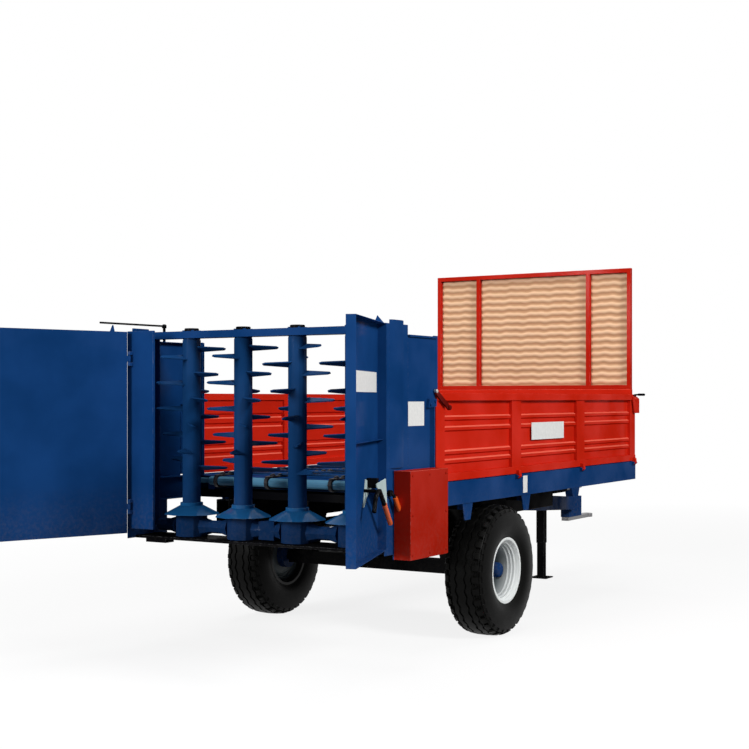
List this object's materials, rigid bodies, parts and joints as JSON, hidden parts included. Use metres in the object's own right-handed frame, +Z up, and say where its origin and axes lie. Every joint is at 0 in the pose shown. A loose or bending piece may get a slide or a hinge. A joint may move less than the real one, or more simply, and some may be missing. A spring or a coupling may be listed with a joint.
{
  "type": "manure spreader",
  "caption": "Towed single-axle manure spreader with upright shredding rotors, rear doors, drop sides and a raised front guard.",
  "frame": {"origin": "centre of the drawbar eye", "axes": "+X forward to the tractor, +Y to the left, +Z up"},
  "size_m": [6.1214, 2.508, 2.588],
  "materials": {
    "blue": "gloss dark blue paint",
    "red": "gloss red paint",
    "mesh": "pale raised expanded metal",
    "tyre": "black rubber",
    "rim": "silver paint",
    "hub": "blue paint",
    "steel": "worn dark steel",
    "black": "black paint"
  },
  "bodies": {
    "chassis": {"axle_beam": "black", "bearing_stand": "black", "conveyor_chains": "steel", "conveyor_roller_front": "steel", "conveyor_roller_rear": "steel", "conveyor_slats": "steel", "cover_plate": "blue", "cross_members": "blue", "door_stay": "steel", "drawbar": "blue", "drawbar_eye": "steel", "drive_tube": "black", "floor_deck": "blue", "front_sill": "blue", "gear_cover": "red", "gearbox_beam": "blue", "guard_frame": "red", "guard_mesh": "mesh", "headboard": "red", "housing_side_left": "blue", "housing_side_right": "blue", "jack_tube": "black", "main_beam_left": "blue", "main_beam_right": "blue", "rear_post_left": "blue", "rear_post_right": "blue", "rotor_gearboxes": "blue", "side_rail_left": "blue", "side_rail_right": "blue", "top_beam": "blue"},
    "wheel_left": {"tyre_left": "tyre", "rim_left": "rim", "hub_left": "hub"},
    "wheel_right": {"tyre_right": "tyre", "rim_right": "rim", "hub_right": "hub"},
    "rotor_1": {"rotor_1": "blue", "rotor_cone_1": "blue"},
    "rotor_2": {"rotor_2": "blue", "rotor_cone_2": "blue"},
    "rotor_3": {"rotor_3": "blue", "rotor_cone_3": "blue"},
    "rotor_4": {"rotor_4": "blue", "rotor_cone_4": "blue"},
    "door_left": {"door_left": "blue"},
    "door_right": {"door_right": "blue"},
    "side_board_left": {"side_board_left": "red"},
    "side_board_right": {"side_board_right": "red"},
    "jack_leg": {"jack_leg": "black"},
    "input_shaft": {"input_shaft": "steel"}
  },
  "joints": [
    {"name": "wheel_left_spin", "type": "hinge", "parent": "chassis", "child": "wheel_left", "pos_m": [-3.757, 0.854, -0.0405], "axis": [0, 1, 0], "continuous": true},
    {"name": "wheel_right_spin", "type": "hinge", "parent": "chassis", "child": "wheel_right", "pos_m": [-3.757, -0.854, -0.0405], "axis": [0, 1, 0], "continuous": true},
    {"name": "rotor_1_spin", "type": "hinge", "parent": "chassis", "child": "rotor_1", "pos_m": [-5.018, 0.6, 0.837], "axis": [0, 0, 1], "continuous": true},
    {"name": "rotor_2_spin", "type": "hinge", "parent": "chassis", "child": "rotor_2", "pos_m": [-5.018, 0.2, 0.837], "axis": [0, 0, 1], "continuous": true},
    {"name": "rotor_3_spin", "type": "hinge", "parent": "chassis", "child": "rotor_3", "pos_m": [-5.018, -0.2, 0.837], "axis": [0, 0, 1], "continuous": true},
    {"name": "rotor_4_spin", "type": "hinge", "parent": "chassis", "child": "rotor_4", "pos_m": [-5.018, -0.6, 0.837], "axis": [0, 0, 1], "continuous": true},
    {"name": "door_left_swing", "type": "hinge", "parent": "chassis", "child": "door_left", "pos_m": [-5.258, 0.902, 0.877], "axis": [0, 0, -1], "range_deg": [-110.5, 9.5]},
    {"name": "door_right_swing", "type": "hinge", "parent": "chassis", "child": "door_right", "pos_m": [-5.258, -0.902, 0.877], "axis": [0, 0, 1], "range_deg": [-110.5, 9.5]},
    {"name": "side_board_left_drop", "type": "hinge", "parent": "chassis", "child": "side_board_left", "pos_m": [-3.038, 0.951, 0.555], "axis": [-1, 0, 0], "range_deg": [0, 150]},
    {"name": "side_board_right_drop", "type": "hinge", "parent": "chassis", "child": "side_board_right", "pos_m": [-3.038, -0.951, 0.555], "axis": [1, 0, 0], "range_deg": [0, 150]},
    {"name": "jack_slide", "type": "slide", "parent": "chassis", "child": "jack_leg", "axis": [0, 0, 1], "range_m": [0, 0.25]},
    {"name": "input_shaft_spin", "type": "hinge", "parent": "chassis", "child": "input_shaft", "pos_m": [-0.353, 0, 0.275], "axis": [1, 0, 0], "continuous": true}
  ],
  "couplings": [
    {"joint": "rotor_2_spin", "follows": "rotor_1_spin", "ratio": 1},
    {"joint": "rotor_3_spin", "follows": "rotor_1_spin", "ratio": -1},
    {"joint": "rotor_4_spin", "follows": "rotor_1_spin", "ratio": -1},
    {"joint": "input_shaft_spin", "follows": "rotor_1_spin", "ratio": 1}
  ]
}
